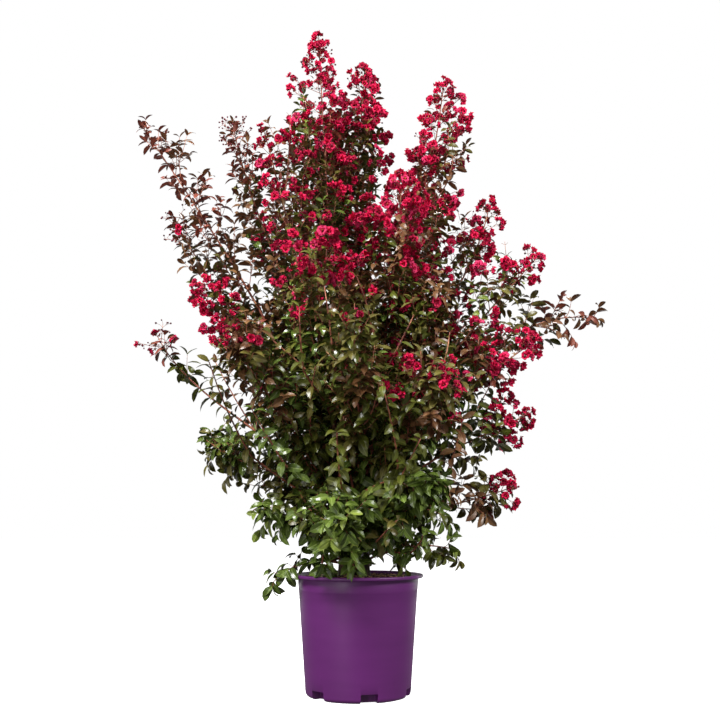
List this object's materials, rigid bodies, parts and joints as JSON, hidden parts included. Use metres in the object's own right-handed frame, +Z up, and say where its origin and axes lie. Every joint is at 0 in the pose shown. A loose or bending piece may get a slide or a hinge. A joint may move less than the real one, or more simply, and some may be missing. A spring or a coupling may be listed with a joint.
{
  "type": "crape myrtle tree",
  "caption": "Young multi-stemmed crape myrtle in flower, upright vase-shaped crown with crimson panicles and long side shoots, standing in a tapered nursery pot.",
  "frame": {"origin": "centre of the pot's flat underside", "axes": "+Z up, the way the stems grow; -Y towards the front, +X to the right seen from the front"},
  "size_m": [1.0939, 0.7837, 1.5006],
  "materials": {
    "pot": "moulded purple plastic, satin",
    "potting_mix": "moist composted bark, matt",
    "stem_bark": "thin brown bark, matt",
    "bough_bark": "young reddish bark, matt",
    "foliage_green": "living leaf, satin green",
    "foliage_bronze": "living leaf, satin, flushed with bronze and maroon",
    "blossom_and_leaf": "crinkled crimson petals over bronze leaves"
  },
  "bodies": {
    "root": {"bough_back_left": "bough_bark", "bough_back_peak": "bough_bark", "bough_back_right": "bough_bark", "bough_centre_panicle": "bough_bark", "bough_front_panicle": "bough_bark", "bough_left_open": "bough_bark", "bough_left_top": "bough_bark", "bough_left_upper": "bough_bark", "bough_long_left": "bough_bark", "bough_peak": "bough_bark", "bough_peak_left": "bough_bark", "bough_peak_mid": "bough_bark", "bough_right_arm": "bough_bark", "bough_right_cluster": "bough_bark", "bough_right_upper": "bough_bark", "bough_small_right": "bough_bark", "bough_spire_right": "bough_bark", "bough_thin_left": "bough_bark", "foliage_back_left": "foliage_bronze", "foliage_back_peak": "foliage_bronze", "foliage_back_right": "foliage_bronze", "foliage_centre_panicle": "blossom_and_leaf", "foliage_front_left": "foliage_green", "foliage_front_low": "foliage_green", "foliage_front_mid": "foliage_green", "foliage_front_panicle": "foliage_bronze", "foliage_front_right": "foliage_green", "foliage_front_right_low": "foliage_green", "foliage_heart_back": "foliage_bronze", "foliage_heart_front": "foliage_bronze", "foliage_heart_left": "foliage_green", "foliage_heart_right": "foliage_green", "foliage_left_foot": "foliage_green", "foliage_left_low": "foliage_green", "foliage_left_open": "foliage_green", "foliage_left_top": "foliage_bronze", "foliage_left_upper": "blossom_and_leaf", "foliage_long_left": "foliage_bronze", "foliage_low_panicle": "foliage_green", "foliage_peak": "blossom_and_leaf", "foliage_peak_left": "blossom_and_leaf", "foliage_peak_mid": "blossom_and_leaf", "foliage_pot_edge": "foliage_green", "foliage_rear_left": "foliage_green", "foliage_rear_low": "foliage_green", "foliage_rear_mid": "foliage_bronze", "foliage_rear_right": "foliage_green", "foliage_right_arm": "foliage_green", "foliage_right_cluster": "blossom_and_leaf", "foliage_right_foot": "foliage_green", "foliage_right_low": "foliage_green", "foliage_right_upper": "foliage_bronze", "foliage_small_right": "blossom_and_leaf", "foliage_spire_right": "blossom_and_leaf", "foliage_thin_left": "foliage_bronze", "pot": "pot", "potting_mix": "potting_mix", "stem_back": "stem_bark", "stem_left": "stem_bark", "stem_right": "stem_bark"}
  },
  "joints": []
}
